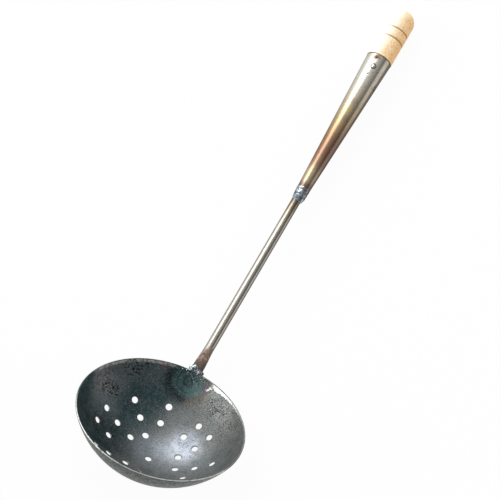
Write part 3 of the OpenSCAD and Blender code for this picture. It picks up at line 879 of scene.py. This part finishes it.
# The grip
# Pale wood turned on a lathe, with a tapered plug that is driven into the socket, two V grooves
# and a round end. It is sanded and left bare, and dirt has settled in the grooves and pores.
GRIP_D = 0.0208
GRIP_LEN = 0.0475
GRIP_SIDES = 128
PLUG_LEN = 0.042
PLUG_GAP, PLUG_BEVEL = 0.00015, 0.0005
SEAT_GAP = 0.00005
GROOVES = (0.0188, 0.0273)
GROOVE_W, GROOVE_DEPTH = 0.0014, 0.0008
SHOULDER_R = 0.0004
GRIP = SOCKET @ Matrix.Translation((0, 0, SOCKET_LEN))


def grip_profile():
    """From the plug's end to the round end, as (radius, height over the socket's mouth)."""
    plug_r = SOCKET_MOUTH_D / 2 - SOCKET_T - PLUG_GAP
    grip_r = GRIP_D / 2
    taper = SOCKET_SLOPE * PLUG_LEN
    points = [(0, -PLUG_LEN), (plug_r - taper - PLUG_BEVEL, -PLUG_LEN),
              (plug_r - taper, -PLUG_LEN + PLUG_BEVEL)]
    points += [(plug_r - taper * (1 - i / 12), -PLUG_LEN * (1 - i / 12)) for i in range(1, 13)]
    points.append((plug_r, SEAT_GAP))
    points += [(grip_r - SHOULDER_R * (1 - math.sin(t)), SEAT_GAP + SHOULDER_R * (1 - math.cos(t)))
               for t in (math.pi / 2 * i / 5 for i in range(6))]
    height = SEAT_GAP + SHOULDER_R
    for groove in GROOVES:
        flat = groove - GROOVE_W
        points += [(grip_r, height + (flat - height) * i / 10) for i in range(1, 11)]
        for i in range(-8, 9):
            at = i / 8 * GROOVE_W
            depth = GROOVE_DEPTH * max(0, 1 - abs(at) / (GROOVE_W * 0.62)) ** 0.9
            points.append((grip_r - depth, groove + at))
        height = groove + GROOVE_W
    top = GRIP_LEN - grip_r
    points += [(grip_r, height + (top - height) * i / 12) for i in range(1, 13)]
    points += [(grip_r * math.cos(t), top + grip_r * math.sin(t))
               for t in (math.pi / 2 * i / 24 for i in range(1, 24))]
    return points + [(0, GRIP_LEN)]


def wood_finish():
    """Sanded pale wood: growth bands seen as long streaks, fine pores, and dirty grooves."""
    finish, own = new_finish("turned_wood", GRIP)
    x, y, z = axes(own)
    off_centre = vector("ADD", own, (0.031, 0.012, 0))
    sway = cloud(vector("MULTIPLY", off_centre, (1, 1, 0.09)), 120, 3)
    from_heart = how_far(vector("MULTIPLY", off_centre, (1, 1, 0.03)))
    year = reckon("FRACT", from_heart * 780 + sway * 4.0)
    colour = bands(year, (0.0, 251, 236, 204), (0.50, 250, 231, 196), (0.82, 247, 222, 182),
                   (0.92, 244, 216, 172), (1.0, 251, 236, 204))

    # Painted light and shade: the wood is pale cream on the side the lamps light and orange-tan towards
    # the other side, where pores show most
    warm = y + (cloud(own, 55, 2) - 0.5) * 0.006
    pale = step(warm, -0.006, 0.005, 0.0, 0.85)
    warm = step(warm, -0.01, 0.005, 1.0, 0.0)
    colour = mix(pale, colour, tone(251, 246, 234))
    colour = mix(warm * 0.65, colour, tone(255, 216, 156))
    edge = step(y, -0.01, -0.004, 0.45, 0.0)
    colour = mix(edge, colour, tone(250, 188, 116))
    pores = scratches(own, 1500, 420)
    pore_share = step(pores, 0.5, 0.56) * step(warm, 0.0, 0.8, 0.1, 0.56)
    colour = mix(pore_share, colour, tone(220, 146, 78))

    # Burnt and dirty in the grooves, by how far the surface is from the axis, painted paler on the side
    # the lamps light, and painted shade at the socket's mouth
    out = how_far(made_by("ShaderNodeCombineXYZ", {"X": x, "Y": y}))
    sunk = step(out, GRIP_D / 2 - GROOVE_DEPTH * 0.8, GRIP_D / 2 - 0.00012, 1.0, 0.0)
    below_end = step(z, GROOVES[1] + 0.0012, GROOVES[1] + 0.0016, 1.0, 0.0)
    dirt_and_shade = sunk * below_end * step(y, -0.001, 0.007, 1.0, 0.2)
    at_mouth = step(z, 0.0003, 0.0008, 0.8, 0.0)
    dirt_and_shade = most(dirt_and_shade * 0.8, at_mouth)
    colour = mix(dirt_and_shade, colour, tone(150, 112, 40))
    rough = step(pores, 0.35, 0.7, 0.42, 0.58)
    height = year * -0.3 - pores * 0.7
    return close_finish(finish, colour, rough, height, 0.00004, 0.0,
                        {"IOR": 1.45, "Specular IOR Level": 0.4})


grip = settle(as_piece("turned_grip", turned(grip_profile(), GRIP_SIDES)), GRIP, wood_finish(),
              "grip", sharp=30)

# The nail
# One round-headed steel nail is driven through the socket's wall into the plug, on the side of
# the bowl's opening, so that the grip can't turn or pull out.
NAIL_D, NAIL_LEN = 0.0018, 0.013
NAIL_HEAD_D, NAIL_HEAD_H = 0.0036, 0.001
NAIL_SIDES = 48
nail_out = socket_radius(SOCKET_LEN - NAIL_AT) + 2 * SEAT_GAP
NAIL = (GRIP @ Matrix.Translation((-nail_out, 0, -NAIL_AT))
        @ Matrix.Rotation(-math.pi / 2, 4, "Y"))


def nail_profile():
    """The shank and its domed head, from the shank's end."""
    dome_r = (NAIL_HEAD_D ** 2 / 4 + NAIL_HEAD_H ** 2) / (2 * NAIL_HEAD_H)
    widest = math.asin(NAIL_HEAD_D / 2 / dome_r)
    points = [(0, -NAIL_LEN), (NAIL_D / 2, -NAIL_LEN)]
    points += [(NAIL_D / 2, -NAIL_LEN * (1 - i / 8)) for i in range(1, 9)]
    points += [(NAIL_HEAD_D / 2 - 0.0001, 0)]
    for i in range(15):
        turn = widest * (1 - i / 15)
        points.append((dome_r * math.sin(turn), NAIL_HEAD_H - dome_r * (1 - math.cos(turn))))
    return points + [(0, NAIL_HEAD_H)]


def nail_finish():
    """Bright steel with hammer marks, and a dark line round the head's edge: dirt and painted shadow.
    """
    finish, own = new_finish("nail_steel", NAIL)
    marks = cloud(own, 1500, 3)
    dirt_and_shade = step(axes(own)[2], 0.0001, 0.0004, 1.0, 0.0)
    colour = mix(marks, tone(206, 204, 198), tone(238, 237, 233))
    colour = mix(dirt_and_shade * 0.7, colour, tone(70, 62, 54))
    return close_finish(finish, colour, step(marks, 0.3, 0.7, 0.34, 0.46), marks, 0.0002)


nail = settle(as_piece("round_head_nail", turned(nail_profile(), NAIL_SIDES)), NAIL, nail_finish(),
              "nail", sharp=40)

# The stage
# A plain white floor, a large soft lamp over the far left, a lower one on the left, a fill lamp on
# the right that leaves no glints, and a pale room that is brighter on the left, with two bright
# panels. The camera looks down from the bowl's side.
FLOOR_R = 30.0
CAMERA_AT = Vector((-1.798332, -0.664096, 4.191999))
CAMERA_UP = Vector((0.79489, 0.44466, 0.41282))
CAMERA_BACK = Vector((-0.38990, -0.14696, 0.90906))
FOCAL_PX, FRAME_PX, SENSOR_MM = 6076.16, 500, 36


def floor_finish():
    """White where it is looked at or reflected, with a faint share of the real shadow."""
    finish = bpy.data.materials.new("white_floor")
    finish.use_nodes = True
    tree = finish.node_tree
    tree.nodes.clear()
    paths = {path.name: Wire(path) for path in add(tree, "ShaderNodeLightPath").outputs}
    seen = most(paths["Is Camera Ray"], paths["Is Glossy Ray"])
    seen = most(seen, paths["Is Transmission Ray"])
    matt = made_by("ShaderNodeBsdfDiffuse", {"Color": (0.82, 0.82, 0.82, 1)}, tree=tree)
    white = made_by("ShaderNodeEmission", {"Color": (1, 1, 1, 1), "Strength": 1.0}, tree=tree)
    shown = made_by("ShaderNodeMixShader", {0: seen * 0.95, 1: matt, 2: white})
    add(tree, "ShaderNodeOutputMaterial", {"Surface": shown})
    return finish


floor_mesh = bmesh.new()
bmesh.ops.create_circle(floor_mesh, cap_ends=True, radius=FLOOR_R, segments=96)
floor = as_piece("floor", floor_mesh)
floor.data.materials.append(floor_finish())


def soft_lamp(name, azimuth, elevation, distance, size, brightness):
    """A flat soft lamp that faces the ladle; brightness is how bright it looks, 1 being white."""
    turn, up = math.radians(azimuth), math.radians(elevation)
    towards = Vector((math.cos(turn) * math.cos(up), math.sin(turn) * math.cos(up), math.sin(up)))
    light = bpy.data.lights.new(name, "AREA")
    light.shape, light.size, light.size_y = "RECTANGLE", size[0], size[1]
    light.energy = brightness * math.pi * size[0] * size[1]
    lamp = bpy.data.objects.new(name, light)
    lamp.location = towards * distance
    lamp.rotation_euler = towards.to_track_quat("Z", "Y").to_euler()
    lamp.visible_camera = False
    bpy.context.scene.collection.objects.link(lamp)
    return lamp


soft_lamp("far_lamp", 42, 37, 2.6, (1.9, 1.7), 3.3)
soft_lamp("left_lamp", 122, 24, 2.4, (1.8, 1.3), 2.8)
fill_lamp = soft_lamp("fill_lamp", -72, 42, 2.6, (2.0, 2.0), 1.9)
fill_lamp.visible_glossy = False

world = bpy.data.worlds.new("room")
world.use_nodes = True
bpy.context.scene.world = world
room = world.node_tree
room.nodes.clear()
looking = made_by("ShaderNodeTexCoord", out="Generated", tree=room)
glow = step(vector("DOT_PRODUCT", looking, (0.165, 0.822, 0.545), "Value"), -0.4, 0.9, 0.13, 0.75)
# Each bright panel is its direction, where its soft edge and its core begin, and its brightness
for direction, edge, core, extra in (((0.409, -0.892, 0.193), 0.972, 0.997, 1.0),
                                     ((0.400, 0.820, 0.410), 0.86, 0.98, 0.70)):
    facing = vector("DOT_PRODUCT", looking, direction, "Value")
    glow = glow + step(facing, edge, core, 0.0, extra)
backdrop = made_by("ShaderNodeBackground", {"Color": (0.98, 0.99, 1.0, 1), "Strength": glow})
add(room, "ShaderNodeOutputWorld", {"Surface": backdrop})

bpy.context.scene.view_settings.view_transform = "Standard"
view = bpy.data.cameras.new("camera")
view.lens = SENSOR_MM * FOCAL_PX / FRAME_PX
view.sensor_width = SENSOR_MM
view.clip_end = 50
camera = bpy.data.objects.new("camera", view)
bpy.context.scene.collection.objects.link(camera)
camera_right = CAMERA_UP.cross(CAMERA_BACK)
camera.matrix_world = (Matrix.Translation(CAMERA_AT)
                       @ Matrix((camera_right, CAMERA_UP, CAMERA_BACK)).transposed().to_4x4())
bpy.context.scene.camera = camera
